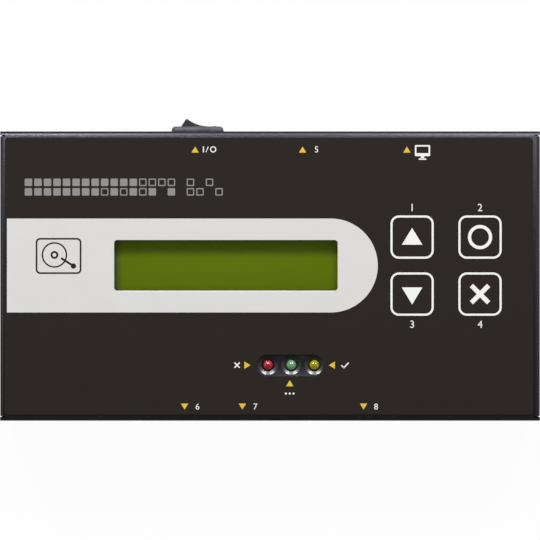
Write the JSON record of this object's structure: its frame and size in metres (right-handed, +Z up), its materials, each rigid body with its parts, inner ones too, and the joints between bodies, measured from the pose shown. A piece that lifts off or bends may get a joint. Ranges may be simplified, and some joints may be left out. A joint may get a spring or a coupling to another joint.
{
  "type": "hard drive erasing station",
  "caption": "Flat dark folded-sheet box with a printed panel, character display, four keys, round lamps, a rocker switch at the rear and drive ports in its long sides.",
  "frame": {"origin": "on the plane of the four feet, under the middle of the box (not of the box with its rocker)", "axes": "+X to the right as the panel is read, +Y to the rear where the rocker switch is, +Z up"},
  "size_m": [0.156, 0.0876, 0.0288],
  "materials": {
    "cover_paint": "textured dark powder coat",
    "base_paint": "textured dark powder coat",
    "screw_steel": "blackened",
    "plated_steel": "nickel plated",
    "foot_rubber": "matte",
    "film": "fine satin",
    "key_film": "fine satin",
    "switch_plastic": "moulded",
    "stem_plastic": "moulded",
    "red_lens": "diffused resin",
    "green_lens": "diffused resin",
    "yellow_lens": "diffused resin",
    "cup_chrome": "plated",
    "display_metal": "black pressed steel",
    "display_glass": "yellow-green liquid crystal panel",
    "light_guide": "frosted",
    "circuit_board": "solder resist",
    "sleeve_metal": "turned",
    "contact_metal": "gold plated",
    "chip_body": "moulded epoxy",
    "bright_can": "drawn can",
    "winding": "enamelled copper wire",
    "fuse_body": "coated",
    "ribbon": "grey insulation",
    "white_nylon": "moulded",
    "black_plastic": "moulded",
    "rocker_frame": "moulded",
    "rocker_face": "moulded",
    "wire_skin": "insulation"
  },
  "bodies": {
    "enclosure": {"top_cover": "cover_paint", "cover_screws": "screw_steel", "base_plate": "base_paint", "rubber_feet": "foot_rubber", "graphic_overlay": "film", "key_switch_bodies": "switch_plastic", "led_red": "red_lens", "led_green": "green_lens", "led_yellow": "yellow_lens", "led_cups": "cup_chrome", "panel_board": "circuit_board", "panel_spacers": "sleeve_metal", "panel_screws": "plated_steel", "display_board": "circuit_board", "display_frame": "display_metal", "display_glass": "display_glass", "display_backlight": "light_guide", "display_spacers": "sleeve_metal", "display_screws": "plated_steel", "link_socket": "black_plastic", "link_strip": "black_plastic", "link_pins": "contact_metal", "main_board": "circuit_board", "board_standoffs": "sleeve_metal", "board_screws": "plated_steel", "processor_chip": "chip_body", "drive_chip": "chip_body", "memory_chip": "chip_body", "power_switches": "chip_body", "crystal": "bright_can", "capacitors": "bright_can", "power_inductor": "winding", "regulator": "chip_body", "fuse": "fuse_body", "resistor_packs": "chip_body", "panel_cable": "ribbon", "cable_headers": "black_plastic", "ide_shroud": "black_plastic", "ide_pins": "contact_metal", "sata_body": "black_plastic", "sata_contacts": "contact_metal", "outlet_body": "white_nylon", "outlet_pins": "plated_steel", "jack_body": "black_plastic", "jack_pin": "plated_steel", "usb_shell": "plated_steel", "usb_insert": "white_nylon", "rocker_housing": "rocker_frame", "rocker_terminals": "plated_steel", "switch_wires": "wire_skin"},
    "rocker": {"rocker_paddle": "rocker_face"},
    "key_up_body": {"key_up": "key_film", "key_up_plunger": "stem_plastic"},
    "key_enter_body": {"key_enter": "key_film", "key_enter_plunger": "stem_plastic"},
    "key_down_body": {"key_down": "key_film", "key_down_plunger": "stem_plastic"},
    "key_escape_body": {"key_escape": "key_film", "key_escape_plunger": "stem_plastic"}
  },
  "joints": [
    {"name": "rocker_pivot", "type": "hinge", "parent": "enclosure", "child": "rocker", "pos_m": [-0.0211, 0.0403, 0.014], "axis": [0, 0, 1], "range_deg": [0, 28]},
    {"name": "key_up_press", "type": "slide", "parent": "enclosure", "child": "key_up_body", "axis": [0, 0, -1], "range_m": [0, 0.0003], "stiffness_N_per_m": 2000, "springref_m": -0.0005},
    {"name": "key_enter_press", "type": "slide", "parent": "enclosure", "child": "key_enter_body", "axis": [0, 0, -1], "range_m": [0, 0.0003], "stiffness_N_per_m": 2000, "springref_m": -0.0005},
    {"name": "key_down_press", "type": "slide", "parent": "enclosure", "child": "key_down_body", "axis": [0, 0, -1], "range_m": [0, 0.0003], "stiffness_N_per_m": 2000, "springref_m": -0.0005},
    {"name": "key_escape_press", "type": "slide", "parent": "enclosure", "child": "key_escape_body", "axis": [0, 0, -1], "range_m": [0, 0.0003], "stiffness_N_per_m": 2000, "springref_m": -0.0005}
  ]
}
